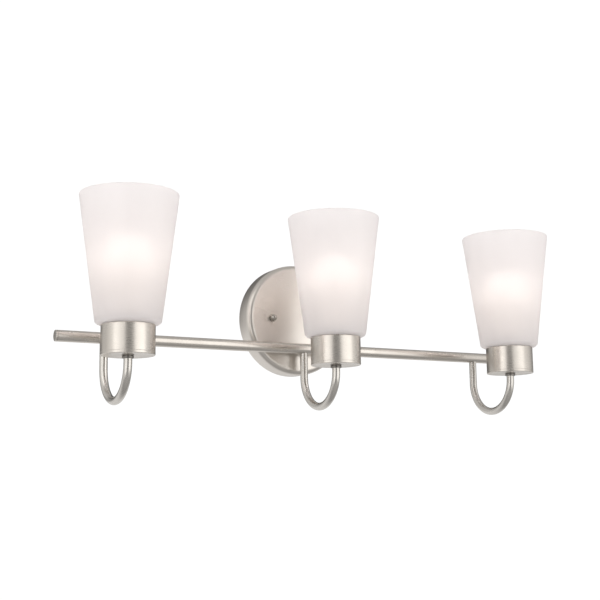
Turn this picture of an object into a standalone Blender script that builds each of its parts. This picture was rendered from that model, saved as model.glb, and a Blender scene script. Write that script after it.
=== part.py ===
"""Three-light vanity bar: a round canopy carries a straight bar on a short stem, and three looped
tubes hang from the bar and rise into round cups, each with a lampholder, a bulb and a glass shade.

Metres, +Z up. The origin is the centre of the canopy's back rim, on the wall. -Y points into the room.
"""

import math

import bmesh
import bpy
from mathutils import Vector

# Driving dimensions
LIGHT_SPACING = 0.250
BAR_LENGTH = 0.610
BAR_RADIUS = 0.00635
BAR_Y = -0.0383
BAR_Z = -0.0372
LOOP_SPAN = 0.0753
LOOP_DROP = 0.0713
LOOP_RADIUS = 0.00475
CANOPY_RADIUS = 0.0670
CANOPY_DEPTH = 0.025
CUP_RADIUS = 0.0284
CUP_HEIGHT = 0.0320
CUP_RISE = 0.0045
SHADE_HEIGHT = 0.139
SHADE_TOP_RADIUS = 0.0533
SHADE_FOOT_RADIUS = 0.0346
SHADE_WALL = 0.003
STUD_SPACING = 0.0698
BULB_RADIUS = 0.030
BULB_LENGTH = 0.108

# Fits shared by several pieces
GAP = 0.0003
TUBE_WALL = 0.0010
BAR_WALL = 0.0012
SHEET = 0.0012
STUD_RADIUS = 0.00205
NIPPLE_RADIUS = 0.0030
NIPPLE_BORE = 0.0022
WIRE_RADIUS = 0.0006
WIRE_HOLE = 0.0026
SOCKET_RADIUS = 0.0195
BASE_RADIUS = 0.0127
FITTER_RADIUS = 0.021

CUP_Y = BAR_Y - LOOP_SPAN
RIM_Z = BAR_Z + CUP_RISE
LIGHTS = (("left", -LIGHT_SPACING), ("middle", 0.0), ("right", LIGHT_SPACING))
STUDS = (("left", -STUD_SPACING / 2), ("right", STUD_SPACING / 2))
TO_ROOM = (0.0, -1.0, 0.0)
UP = (0.0, 0.0, 1.0)
ALONG_BAR = (1.0, 0.0, 0.0)


def clear_scene():
    for item in list(bpy.data.objects):
        bpy.data.objects.remove(item)


def make_material(name, colour, roughness, metallic=0.0):
    material = bpy.data.materials.new(name)
    material.use_nodes = True
    shader = material.node_tree.nodes["Principled BSDF"]
    shader.inputs["Base Color"].default_value = (*colour, 1.0)
    shader.inputs["Roughness"].default_value = roughness
    shader.inputs["Metallic"].default_value = metallic
    return material


def add_object(name, data, material, place=(0.0, 0.0, 0.0), axis=UP, parent=None):
    """Put a mesh or curve in the scene with its own +Z along axis."""
    thing = bpy.data.objects.new(name, data)
    bpy.context.collection.objects.link(thing)
    if material is not None:
        data.materials.append(material)
    thing.location = place
    thing.rotation_euler = Vector(UP).rotation_difference(Vector(axis)).to_euler()
    thing.parent = parent
    return thing


def finish_mesh(name, shape, sharp_angle=35.0):
    bmesh.ops.remove_doubles(shape, verts=shape.verts, dist=0.000001)
    on_axis = [edge for edge in shape.edges if not edge.link_faces]
    bmesh.ops.delete(shape, geom=on_axis, context="EDGES")
    bmesh.ops.recalc_face_normals(shape, faces=shape.faces)
    mesh = bpy.data.meshes.new(name)
    shape.to_mesh(mesh)
    shape.free()
    mesh.shade_smooth()
    mesh.set_sharp_from_angle(angle=math.radians(sharp_angle))
    return mesh


def turned(name, outline, segments):
    """Spin a closed outline of (radius, height) points about +Z."""
    shape = bmesh.new()
    points = [shape.verts.new((radius, 0.0, height)) for radius, height in outline]
    edges = [shape.edges.new((points[i - 1], points[i])) for i in range(len(points))]
    bmesh.ops.spin(shape, geom=points + edges, cent=(0, 0, 0), axis=UP,
                   angle=math.tau, steps=segments, use_merge=True)
    return finish_mesh(name, shape)


def arc(centre, radius, start, end, steps):
    """Points on an arc in the outline's plane, angles in degrees from +radius."""
    angles = [math.radians(start + (end - start) * i / steps) for i in range(steps + 1)]
    return [(centre[0] + radius * math.cos(a), centre[1] + radius * math.sin(a)) for a in angles]


def ring_outline(inner, outer, low, high):
    return [(outer, high), (outer, low), (inner, low), (inner, high)]


def hex_nut(name, across_flats, bore, height):
    """A hexagon with a round bore: twelve points a ring, corners and flats in turn."""
    shape = bmesh.new()
    outer, inner = [], []
    for i in range(12):
        angle = math.tau * i / 12
        reach = across_flats / 2 / (math.cos(math.pi / 6) if i % 2 == 0 else 1.0)
        outer.append(shape.verts.new((reach * math.cos(angle), reach * math.sin(angle), 0.0)))
        inner.append(shape.verts.new((bore * math.cos(angle), bore * math.sin(angle), 0.0)))
    for i in range(12):
        shape.faces.new((outer[i - 1], outer[i], inner[i], inner[i - 1]))
    top = bmesh.ops.extrude_face_region(shape, geom=shape.faces[:])
    raised = [item for item in top["geom"] if isinstance(item, bmesh.types.BMVert)]
    bmesh.ops.translate(shape, verts=raised, vec=(0.0, 0.0, height))
    return finish_mesh(name, shape)


def hidden_tool(name, mesh, place, axis, parent=None):
    """A shape to cut with, kept out of sight."""
    tool = add_object(name, mesh, None, place, axis, parent)
    tool.hide_render = True
    tool.display_type = "WIRE"
    return tool


def cutter(name, radius, length, place, axis, parent=None, segments=16):
    """A round tool, centred on place and lying along axis."""
    shape = bmesh.new()
    bmesh.ops.create_cone(shape, cap_ends=True, segments=segments,
                          radius1=radius, radius2=radius, depth=length)
    return hidden_tool(name, finish_mesh(name, shape), place, axis, parent)


def drill(target, *drills):
    for tool in drills:
        cut = target.modifiers.new("Cut_" + tool.name, "BOOLEAN")
        cut.operation = "DIFFERENCE"
        cut.solver = "EXACT"
        cut.object = tool


def build_canopy(nickel):
    """Drawn steel drum: a rounded front edge, a rolled back rim and three holes in its face."""
    fillet = 0.007
    inner = CANOPY_RADIUS - SHEET
    edge = (CANOPY_RADIUS - fillet, CANOPY_DEPTH - fillet)
    outline = [(0.0, CANOPY_DEPTH)]
    outline += arc(edge, fillet, 90, 0, 4)
    outline += [(CANOPY_RADIUS, 0.0), (inner, 0.0)]
    outline += arc(edge, fillet - SHEET, 0, 90, 2)
    outline += [(0.0, CANOPY_DEPTH - SHEET)]
    canopy = add_object("canopy", turned("canopy", outline, 32), nickel, axis=TO_ROOM)
    through = 4 * SHEET
    face_y = -CANOPY_DEPTH
    drills = [cutter("nipple_hole", NIPPLE_RADIUS + GAP, through, (0, face_y, BAR_Z), TO_ROOM)]
    for side, x in STUDS:
        place = (x, face_y, 0.0)
        drills.append(cutter(f"stud_hole_{side}", STUD_RADIUS + GAP, through, place, TO_ROOM,
                             segments=12))
    drill(canopy, *drills)


def build_crossbar(steel, green, plastic):
    """Mounting strap on the wall with its two studs, their nuts, the ground screw and terminal block."""
    half_length, half_width, thickness = 0.055, 0.010, 0.002
    shape = bmesh.new()
    bmesh.ops.create_cube(shape, size=1.0)
    bmesh.ops.scale(shape, verts=shape.verts, vec=(2 * half_length, 2 * half_width, thickness))
    corners = [e for e in shape.edges if abs(e.verts[0].co.z - e.verts[1].co.z) > thickness / 2]
    bmesh.ops.bevel(shape, geom=corners, offset=0.004, segments=3, affect="EDGES")
    strap = add_object("mounting_crossbar", finish_mesh("mounting_crossbar", shape), steel,
                       (0, -thickness / 2, 0), TO_ROOM)

    ground_x = 0.0215
    ground_radius = 0.0018
    through = 3 * thickness
    drills = [cutter("ground_hole", ground_radius + GAP, through, (ground_x, 0, 0), TO_ROOM, segments=12)]
    for side, x in STUDS:
        drills.append(cutter(f"strap_hole_{side}", STUD_RADIUS + GAP, through, (x, 0, 0), TO_ROOM,
                             segments=12))
    slot_radius, slot_half, slot_x = 0.0023, 0.0022, 0.046
    on_centre = 0.000001
    for side, x in (("left", -slot_x), ("right", slot_x)):
        slot = bmesh.new()
        bmesh.ops.create_cone(slot, cap_ends=True, segments=12, radius1=slot_radius,
                              radius2=slot_radius, depth=through)
        for point in slot.verts:
            if abs(point.co.x) > on_centre:
                point.co.x += math.copysign(slot_half, point.co.x)
        drills.append(hidden_tool(f"box_slot_{side}", finish_mesh(f"box_slot_{side}", slot),
                                  (x, 0, 0), TO_ROOM))
    drill(strap, *drills)

    stud_length = CANOPY_DEPTH + 0.0055
    for side, x in STUDS:
        stud = turned(f"mounting_stud_{side}", [(0, stud_length), (STUD_RADIUS, stud_length),
                                                (STUD_RADIUS, GAP), (0, GAP)], 12)
        add_object(f"mounting_stud_{side}", stud, steel, (x, 0, 0), TO_ROOM)
        nut = hex_nut(f"stud_nut_{side}", 0.0087, STUD_RADIUS + GAP, 0.003)
        add_object(f"stud_nut_{side}", nut, steel, (x, -thickness - GAP, 0), TO_ROOM)

    head = thickness + GAP
    screw = [(0, head + 0.002), (0.0030, head + 0.002), (0.0042, head + 0.0008), (0.0042, head),
             (ground_radius, head), (ground_radius, GAP), (0, GAP)]
    add_object("ground_screw", turned("ground_screw", screw, 12), green, (ground_x, 0, 0), TO_ROOM)

    block = bmesh.new()
    bmesh.ops.create_cube(block, size=1.0)
    block_size = (0.022, 0.009, 0.018)
    bmesh.ops.scale(block, verts=block.verts, vec=block_size)
    bmesh.ops.bevel(block, geom=block.edges[:], offset=0.001, segments=1, affect="EDGES")
    block_y = -thickness - GAP - block_size[1] / 2
    add_object("terminal_block", finish_mesh("terminal_block", block), plastic, (0, block_y, 0))
    return block_y, -block_size[2] / 2


def build_cap_nuts(nickel):
    """A domed blind nut and a thin washer on each stud; the nut turns about its stud."""
    washer_height = 0.0006
    nut_radius, skirt, bore = 0.0038, 0.0030, STUD_RADIUS + GAP
    bore_depth = 0.0050
    for side, x in STUDS:
        washer = turned(f"cap_washer_{side}", ring_outline(bore, 0.0047, 0.0, washer_height), 12)
        washer_y = -CANOPY_DEPTH - GAP
        add_object(f"cap_washer_{side}", washer, nickel, (x, washer_y, 0), TO_ROOM)
        outline = arc((0.0, skirt), nut_radius, 90, 0, 3)
        outline += [(nut_radius, 0.0003), (nut_radius - 0.0003, 0.0), (bore, 0.0)]
        outline += [(bore, bore_depth), (0.0, bore_depth)]
        nut_y = washer_y - washer_height - GAP
        nut = turned(f"cap_nut_{side}", outline, 12)
        add_object(f"cap_nut_{side}", nut, nickel, (x, nut_y, 0), TO_ROOM)


def build_stem(nickel, steel):
    """Spacer, threaded nipple, lock washer and nut that hold the bar to the canopy."""
    spacer_radius = 0.0050
    spacer_end = -BAR_Y - BAR_RADIUS + 0.0012
    spacer = turned("stem_spacer", ring_outline(NIPPLE_RADIUS + GAP, spacer_radius,
                                                CANOPY_DEPTH + GAP, spacer_end), 16)
    spacer = add_object("stem_spacer", spacer, nickel, (0, 0, BAR_Z), TO_ROOM)
    saddle = cutter("bar_saddle", BAR_RADIUS + GAP, 0.03, (0, BAR_Y, BAR_Z), ALONG_BAR, segments=24)
    drill(spacer, saddle)

    back = CANOPY_DEPTH - SHEET
    nipple_end = -BAR_Y - BAR_RADIUS + 0.0015
    nipple = turned("threaded_nipple", ring_outline(NIPPLE_BORE, NIPPLE_RADIUS, 0.0165, nipple_end), 12)
    add_object("threaded_nipple", nipple, steel, (0, 0, BAR_Z), TO_ROOM)
    washer_low = back - 0.0013
    washer = ring_outline(NIPPLE_RADIUS + GAP, 0.0062, washer_low, back - GAP)
    add_object("nipple_washer", turned("nipple_washer", washer, 12), steel, (0, 0, BAR_Z), TO_ROOM)
    nut_height = 0.0035
    nut = hex_nut("nipple_nut", 0.0100, NIPPLE_RADIUS + GAP, nut_height)
    nut_y = nut_height + GAP - washer_low
    add_object("nipple_nut", nut, steel, (0, nut_y, BAR_Z), TO_ROOM)


def build_bar(nickel):
    """Round tube with wire holes over each loop and behind, closed by a plug at each end."""
    plug_face = 0.0016
    half = BAR_LENGTH / 2 - plug_face - GAP
    tube = turned("bar_tube", ring_outline(BAR_RADIUS - BAR_WALL, BAR_RADIUS, -half, half), 16)
    bar = add_object("bar_tube", tube, nickel, (0, BAR_Y, BAR_Z), ALONG_BAR)
    wall_centre = BAR_RADIUS - BAR_WALL / 2
    drills = [cutter("bar_back_hole", NIPPLE_RADIUS + GAP, 0.004,
                     (0, BAR_Y + wall_centre, BAR_Z), TO_ROOM, segments=12)]
    for side, x in LIGHTS:
        drills.append(cutter(f"bar_wire_hole_{side}", WIRE_HOLE, 0.004,
                             (x, BAR_Y, BAR_Z - wall_centre), UP, segments=12))
    drill(bar, *drills)

    edge = 0.0010
    spigot, reach = BAR_RADIUS - BAR_WALL - GAP, 0.007
    outline = [(0.0, plug_face)]
    outline += arc((BAR_RADIUS - edge, plug_face - edge), edge, 90, 0, 2)
    outline += [(BAR_RADIUS, 0.0), (spigot, 0.0), (spigot, -reach), (0.0, -reach)]
    for side, sign in (("left", -1.0), ("right", 1.0)):
        plug = turned(f"bar_end_cap_{side}", outline, 16)
        add_object(f"bar_end_cap_{side}", plug, nickel,
                   (sign * (BAR_LENGTH / 2 - plug_face), BAR_Y, BAR_Z), (sign, 0, 0))


def loop_skin(shape, radius, bend_centre, bend_radius, back_top, front_top):
    """One skin of the loop: down the back leg, round the bend, up the front leg. Returns its open ends."""
    sides, bend_steps = 10, 12
    ring = bmesh.ops.create_circle(shape, cap_ends=False, segments=sides, radius=radius)["verts"]
    bmesh.ops.translate(shape, verts=ring, vec=(0.0, bend_centre[0] + bend_radius, back_top))
    first = list({edge for point in ring for edge in point.link_edges})
    leg = bmesh.ops.extrude_edge_only(shape, edges=first)["geom"]
    moved = [item for item in leg if isinstance(item, bmesh.types.BMVert)]
    bmesh.ops.translate(shape, verts=moved, vec=(0.0, 0.0, bend_centre[1] - back_top))
    ends = [item for item in leg if isinstance(item, bmesh.types.BMEdge)]
    bend = bmesh.ops.spin(shape, geom=moved + ends, cent=(0.0, *bend_centre), axis=(-1, 0, 0),
                          angle=math.pi, steps=bend_steps)["geom_last"]
    ends = [item for item in bend if isinstance(item, bmesh.types.BMEdge)]
    leg = bmesh.ops.extrude_edge_only(shape, edges=ends)["geom"]
    moved = [item for item in leg if isinstance(item, bmesh.types.BMVert)]
    bmesh.ops.translate(shape, verts=moved, vec=(0.0, 0.0, front_top - bend_centre[1]))
    return first, [item for item in leg if isinstance(item, bmesh.types.BMEdge)]


def cap_wall(shape, outer_edges, inner_edges):
    """Close a tube's end: one face from each outer edge to the two inner points beside it."""
    inner_points = {point for edge in inner_edges for point in edge.verts}
    for edge in outer_edges:
        near = [min(inner_points, key=lambda p: (p.co - v.co).length) for v in reversed(edge.verts)]
        shape.faces.new((*edge.verts, *near))


def build_loop_arm(side, x, nickel, front_top):
    """Bent tube from the bar's underside, through a half circle, up into the cup."""
    bend_radius = LOOP_SPAN / 2
    bend_centre = (BAR_Y - bend_radius, BAR_Z - LOOP_DROP + bend_radius)
    back_top = BAR_Z - BAR_RADIUS + 0.0014
    shape = bmesh.new()
    outer = loop_skin(shape, LOOP_RADIUS, bend_centre, bend_radius, back_top, front_top)
    inner = loop_skin(shape, LOOP_RADIUS - TUBE_WALL, bend_centre, bend_radius, back_top, front_top)
    for end in (0, 1):
        cap_wall(shape, outer[end], inner[end])
    arm = add_object(f"loop_arm_{side}", finish_mesh(f"loop_arm_{side}", shape), nickel, (x, 0, 0))
    saddle_length = 0.03
    drill(arm, cutter(f"arm_saddle_{side}", BAR_RADIUS + GAP, saddle_length, (x, BAR_Y, BAR_Z), ALONG_BAR,
                      segments=24))


def build_cup(side, hub, nickel, dark, steel):
    """Drawn cup with a narrow lip, a collar below its floor and a nut above it, round the tube's end."""
    wall, floor, lip_radius, edge = 0.0015, 0.0020, 0.0245, 0.0006
    bottom = -CUP_HEIGHT
    bore = LOOP_RADIUS + GAP
    outline = [(lip_radius, 0.0), (CUP_RADIUS - edge, 0.0), (CUP_RADIUS, -edge)]
    outline += [(CUP_RADIUS, bottom + edge), (CUP_RADIUS - edge, bottom), (bore, bottom)]
    outline += [(bore, bottom + floor), (CUP_RADIUS - wall, bottom + floor)]
    outline += [(CUP_RADIUS - wall, -wall), (lip_radius, -wall)]
    add_object(f"cup_{side}", turned(f"cup_{side}", outline, 24), nickel, parent=hub)

    collar_radius, collar_height, chamfer = 0.0062, 0.0027, 0.0005
    top = bottom - GAP
    low = top - collar_height
    collar = [(collar_radius, top), (collar_radius, low + chamfer), (collar_radius - chamfer, low),
              (bore, low), (bore, top)]
    add_object(f"cup_collar_{side}", turned(f"cup_collar_{side}", collar, 12), dark, parent=hub)
    nut_height = 0.0040
    nut_low = bottom + floor + GAP
    nut = hex_nut(f"cup_nut_{side}", 0.0130, bore, nut_height)
    add_object(f"cup_nut_{side}", nut, steel, (0, 0, nut_low), parent=hub)
    return nut_low + nut_height


def build_lampholder(side, hub, socket_low, ceramic, brass, steel):
    """Glazed lampholder on the nut, its screw shell and centre contact, and the ring over the shade."""
    low = socket_low + GAP
    cavity_floor = low + 0.006
    top = 0.0120
    cavity = 0.0144
    body = [(cavity + 0.001, top), (SOCKET_RADIUS - 0.0008, top), (SOCKET_RADIUS, top - 0.0008)]
    body += [(SOCKET_RADIUS, low + 0.001), (SOCKET_RADIUS - 0.001, low), (LOOP_RADIUS + GAP, low)]
    body += [(LOOP_RADIUS + GAP, cavity_floor), (cavity, cavity_floor), (cavity, top - 0.001)]
    add_object(f"socket_body_{side}", turned(f"socket_body_{side}", body, 16), ceramic, parent=hub)

    shell_inner, shell_wall = 0.0132, 0.0005
    shell_low, shell_high = cavity_floor + 0.0035, top - 0.003
    outline = ring_outline(shell_inner, shell_inner + shell_wall, shell_low, shell_high)
    shell = turned(f"socket_screw_shell_{side}", outline, 16)
    add_object(f"socket_screw_shell_{side}", shell, brass, parent=hub)

    disc_low = cavity_floor + GAP
    contact_top = disc_low + 0.0045
    disc_top, disc_radius, button = disc_low + 0.0008, 0.0070, 0.0024
    contact = [(0.0, contact_top), (0.0018, contact_top - 0.0002), (button, contact_top - 0.001)]
    contact += [(button, disc_top), (disc_radius, disc_top), (disc_radius, disc_low), (0.0, disc_low)]
    add_object(f"socket_contact_{side}", turned(f"socket_contact_{side}", contact, 12), brass, parent=hub)

    ring_low = GAP + SHADE_WALL + GAP
    ring_top = ring_low + 0.006
    inner, hub_radius, flange = SOCKET_RADIUS + GAP, 0.0226, 0.0262
    ring = [(hub_radius, ring_top), (hub_radius, ring_low + 0.0025), (flange, ring_low + 0.0020)]
    ring += [(flange, ring_low), (inner, ring_low), (inner, ring_top)]
    add_object(f"shade_ring_{side}", turned(f"shade_ring_{side}", ring, 20), steel, parent=hub)
    return disc_low, contact_top


def build_shade(side, hub, glass):
    """Blown glass cone, open at the top; a hole in its rounded foot drops over the lampholder."""
    low = GAP
    slope = (SHADE_TOP_RADIUS - SHADE_FOOT_RADIUS) / SHADE_HEIGHT
    lean = math.degrees(math.atan(slope))
    foot = 0.0050
    foot_centre = (SHADE_FOOT_RADIUS + slope * foot - foot / math.cos(math.radians(lean)), low + foot)
    top = low + SHADE_HEIGHT
    rim = SHADE_WALL / 2
    outline = [(FITTER_RADIUS, low)]
    outline += arc(foot_centre, foot, -90, -lean, 3)
    outline += [(SHADE_TOP_RADIUS - slope * rim, top - rim), (SHADE_TOP_RADIUS - rim, top)]
    outline += [(SHADE_TOP_RADIUS - SHADE_WALL, top - rim)]
    outline += arc(foot_centre, foot - SHADE_WALL, -lean, -90, 2)
    outline += [(FITTER_RADIUS, low + SHADE_WALL)]
    add_object(f"glass_shade_{side}", turned(f"glass_shade_{side}", outline, 28), glass, parent=hub)


def build_bulb(side, seat, envelope, metal, insulator):
    """Bulb that screws up out of the lampholder; its own origin is on the screw's axis, at the seat."""
    tip = GAP
    insulator_low, shell_low, shell_high = tip + 0.0012, tip + 0.0045, tip + 0.0250
    contact = [(0.0, shell_low), (0.0085, shell_low), (0.0060, insulator_low), (0.0040, insulator_low)]
    contact += [(0.0030, tip + 0.0002), (0.0, tip)]
    add_object(f"bulb_contact_{side}", turned(f"bulb_contact_{side}", contact, 12), insulator, parent=seat)

    low = shell_low + GAP
    wall = 0.0005
    taper, foot_radius = 0.003, 0.0095
    shell = [(BASE_RADIUS, shell_high), (BASE_RADIUS, low + taper), (foot_radius, low)]
    shell += [(foot_radius - wall, low), (BASE_RADIUS - wall, low + taper + wall)]
    shell += [(BASE_RADIUS - wall, shell_high)]
    add_object(f"bulb_base_{side}", turned(f"bulb_base_{side}", shell, 16), metal, parent=seat)

    neck_low = shell_high + GAP
    globe_height = tip + BULB_LENGTH - BULB_RADIUS
    glass_wall = 0.0012
    neck = [(0.0215, 0.0500), (0.0163, 0.0380), (0.0136, 0.0290), (0.0132, neck_low)]
    outer = arc((0.0, globe_height), BULB_RADIUS, 90, -25, 6) + neck
    inner = [(radius - glass_wall, height) for radius, height in reversed(neck)]
    inner += arc((0.0, globe_height), BULB_RADIUS - glass_wall, -25, 90, 4)
    add_object(f"bulb_glass_{side}", turned(f"bulb_glass_{side}", outer + inner, 16), envelope, parent=seat)


def smooth_route(corners, samples):
    """Points along a smooth curve through the corners, with each bend no longer than its own stretch."""
    nodes = [Vector(corner) for corner in corners]
    padded = [nodes[0], *nodes, nodes[-1]]
    headings = [(padded[i + 2] - padded[i]).normalized() for i in range(len(nodes))]
    route = []
    for i in range(len(nodes) - 1):
        start, end = nodes[i], nodes[i + 1]
        reach = (end - start).length
        for step in range(samples):
            t = step / samples
            place = start.lerp(end, 3 * t ** 2 - 2 * t ** 3)
            leaving = headings[i] * (t ** 3 - 2 * t ** 2 + t)
            arriving = headings[i + 1] * (t ** 3 - t ** 2)
            route.append(place + (leaving + arriving) * reach)
    route.append(nodes[-1])
    return route


def build_lead(side, x, start_z, block_y, block_low, insulation):
    """Lead from the centre contact, round the loop, along the bar and through the nipple to the block."""
    bend_radius = LOOP_SPAN / 2
    centre_y, centre_z = BAR_Y - bend_radius, BAR_Z - LOOP_DROP + bend_radius
    bend = []
    bend_steps = 8
    for i in range(bend_steps + 1):
        angle = math.pi + math.pi * i / bend_steps
        across, down = bend_radius * math.cos(angle), bend_radius * math.sin(angle)
        bend.append(Vector((x, centre_y + across, centre_z + down)))
    route = [Vector((x, CUP_Y, start_z - GAP)), *bend]

    sign = (x > 0) - (x < 0)
    lane_x = sign * 0.00104
    lane_z = BAR_Z + 0.0006 if sign else BAR_Z - 0.0012
    corner = [(x, BAR_Y, BAR_Z - 0.006)]
    if sign:
        corner += [(x, BAR_Y, BAR_Z - 0.0018), (x - sign * 0.0018, BAR_Y, lane_z)]
        corner += [(x - sign * 0.010, BAR_Y, lane_z), (sign * 0.012, BAR_Y, lane_z)]
        corner += [(sign * 0.0030, BAR_Y + 0.0006, lane_z), (lane_x, BAR_Y + 0.0028, lane_z)]
    else:
        corner += [(x, BAR_Y + 0.0006, BAR_Z - 0.0022), (x, BAR_Y + 0.0024, lane_z)]
    corner += [(lane_x, BAR_Y + 0.006, lane_z), (lane_x, -0.0180, lane_z), (lane_x, -0.0155, lane_z)]
    block_x = sign * 0.006
    corner += [(block_x * 0.6, -0.0100, BAR_Z + 0.006), (block_x, block_y, block_low - 0.006)]
    corner += [(block_x, block_y, block_low - GAP)]
    route += smooth_route(corner, 2)

    curve = bpy.data.curves.new(f"lead_{side}", "CURVE")
    curve.dimensions = "3D"
    curve.bevel_depth = WIRE_RADIUS
    curve.bevel_resolution = 1
    curve.use_fill_caps = True
    path = curve.splines.new("POLY")
    path.points.add(len(route) - 1)
    for point, place in zip(path.points, route):
        point.co = (*place, 1.0)
    add_object(f"lead_{side}", curve, insulation)


def build():
    clear_scene()
    nickel = make_material("brushed_nickel", (0.62, 0.59, 0.55), 0.32, 1.0)
    dark = make_material("dark_nickel", (0.10, 0.095, 0.085), 0.40, 1.0)
    steel = make_material("zinc_steel", (0.66, 0.67, 0.68), 0.35, 1.0)
    brass = make_material("brass", (0.80, 0.62, 0.30), 0.30, 1.0)
    green = make_material("green_steel", (0.05, 0.35, 0.12), 0.40, 0.6)
    plastic = make_material("black_plastic", (0.05, 0.05, 0.05), 0.50)
    ceramic = make_material("glazed_ceramic", (0.88, 0.87, 0.84), 0.20)
    glass = make_material("frosted_glass", (0.93, 0.90, 0.88), 0.55)
    envelope = make_material("bulb_glass", (1.0, 0.97, 0.90), 0.35)
    bulb_metal = make_material("bulb_base_metal", (0.72, 0.72, 0.70), 0.28, 1.0)
    insulator = make_material("black_glass", (0.03, 0.03, 0.03), 0.20)
    insulation = make_material("lead_insulation", (0.90, 0.88, 0.82), 0.50)

    build_canopy(nickel)
    block_y, block_low = build_crossbar(steel, green, plastic)
    build_cap_nuts(nickel)
    build_stem(nickel, steel)
    build_bar(nickel)
    for side, x in LIGHTS:
        hub = add_object(f"light_{side}", None, None, (x, CUP_Y, RIM_Z))
        socket_low = build_cup(side, hub, nickel, dark, steel)
        contact_low, contact_top = build_lampholder(side, hub, socket_low, ceramic, brass, steel)
        build_shade(side, hub, glass)
        seat = add_object(f"bulb_seat_{side}", None, None, (0, 0, contact_top), parent=hub)
        build_bulb(side, seat, envelope, bulb_metal, insulator)
        reach_inside = 0.0045
        arm_top = RIM_Z + socket_low + GAP + reach_inside
        build_loop_arm(side, x, nickel, arm_top)
        build_lead(side, x, RIM_Z + contact_low, block_y, block_low, insulation)


build()
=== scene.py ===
import math

import bmesh
import bpy
from mathutils import Matrix, Vector


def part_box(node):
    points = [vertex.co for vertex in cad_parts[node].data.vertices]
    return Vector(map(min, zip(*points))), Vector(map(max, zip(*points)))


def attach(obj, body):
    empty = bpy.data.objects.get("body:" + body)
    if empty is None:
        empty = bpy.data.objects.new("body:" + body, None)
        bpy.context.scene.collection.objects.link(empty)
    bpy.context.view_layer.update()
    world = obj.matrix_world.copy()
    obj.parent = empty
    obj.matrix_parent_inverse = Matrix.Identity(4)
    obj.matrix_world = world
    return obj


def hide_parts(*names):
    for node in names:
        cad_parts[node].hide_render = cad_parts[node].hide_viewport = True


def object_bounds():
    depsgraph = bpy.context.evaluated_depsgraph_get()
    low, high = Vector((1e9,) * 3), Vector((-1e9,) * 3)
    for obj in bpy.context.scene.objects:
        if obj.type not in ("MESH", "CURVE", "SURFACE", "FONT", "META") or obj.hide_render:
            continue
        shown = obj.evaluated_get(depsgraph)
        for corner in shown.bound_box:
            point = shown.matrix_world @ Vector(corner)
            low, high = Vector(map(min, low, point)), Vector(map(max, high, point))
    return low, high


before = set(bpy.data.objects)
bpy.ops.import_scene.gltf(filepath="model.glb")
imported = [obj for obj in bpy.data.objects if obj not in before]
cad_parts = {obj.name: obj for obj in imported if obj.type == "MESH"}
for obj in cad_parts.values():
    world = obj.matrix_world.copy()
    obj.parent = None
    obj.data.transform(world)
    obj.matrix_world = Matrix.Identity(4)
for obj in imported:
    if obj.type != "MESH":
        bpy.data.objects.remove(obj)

cad_box = [list(corner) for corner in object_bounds()]
SIDES = ("left", "middle", "right")
PAIR = ("left", "right")


# Viewpoint: a long lens below and to the left of the light, looking up at it.
# The stand-off is counted from the middle of the bar.
bar_low, bar_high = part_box("bar_tube")
bar_middle = (bar_low + bar_high) / 2
STAND_OFF = Vector((-0.6759, -1.2206, -0.1737))
TURN, TILT, LEAN = 0.5031, 0.1656, -0.0142
LENS_MM = 70.44


def added(name, data):
    """A new object that holds data and stands in the scene."""
    thing = bpy.data.objects.new(name, data)
    bpy.context.collection.objects.link(thing)
    return thing


ahead = Vector((math.sin(TURN) * math.cos(TILT), math.cos(TURN) * math.cos(TILT), math.sin(TILT)))
level = Vector((math.cos(TURN), -math.sin(TURN), 0.0))
over = level.cross(ahead)
across = level * math.cos(LEAN) + over * math.sin(LEAN)
upward = over * math.cos(LEAN) - level * math.sin(LEAN)
lens = bpy.data.cameras.new("viewpoint")
lens.lens = LENS_MM
viewpoint = added("viewpoint", lens)
viewpoint.matrix_world = Matrix.Translation(bar_middle + STAND_OFF) @ Matrix(
    (across, upward, -ahead)).transposed().to_4x4()
bpy.context.scene.camera = viewpoint
bpy.context.scene.view_settings.view_transform = "Standard"


# Studio: two tall soft boxes, one each side of the viewpoint with a dark gap between them, in a
# white room over a pale floor. The room's own brightness follows the compass heading, counted
# in degrees from straight in front of the wall, and is dimmer overhead and underfoot.
HEADINGS = (
    (-180, 0.06), (-166, 0.17), (-150, 0.64), (-125, 0.64), (-108, 0.84), (-92, 1.00),
    (-66, 0.62), (-48, 0.27), (-8, 0.27), (10, 0.66), (48, 0.95), (62, 0.86), (80, 0.66),
    (104, 0.34), (138, 0.07), (180, 0.06))
ROOM_TINT = (1.0, 0.985, 0.96)
UNDERFOOT = ((0.15, (0.47, 0.46, 0.45)), (0.50, (0.34, 0.335, 0.33)), (0.80, (0.82, 0.81, 0.80)))
OVERHEAD = (0.54, 0.53, 0.52, 1.0)
HORIZON_TIP, LOW_EDGE, HIGH_EDGE = 0.22, (-0.40, -0.10), (0.45, 0.80)
ROOM_FILL, FILL_TINT = 1.22, (1.0, 0.985, 0.98, 1.0)
BACKDROP, BACKDROP_TINT = 1.05, (1.0, 1.0, 1.0, 1.0)


def wired(tree, kind, feeds=None, **settings):
    """Add a node with its settings; each input is fed a plain value or another node's output."""
    node = tree.nodes.new(kind)
    for setting, value in settings.items():
        setattr(node, setting, value)
    for socket, given in (feeds or {}).items():
        if isinstance(given, bpy.types.NodeSocket):
            tree.links.new(given, node.inputs[socket])
        else:
            node.inputs[socket].default_value = given
    return node


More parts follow.
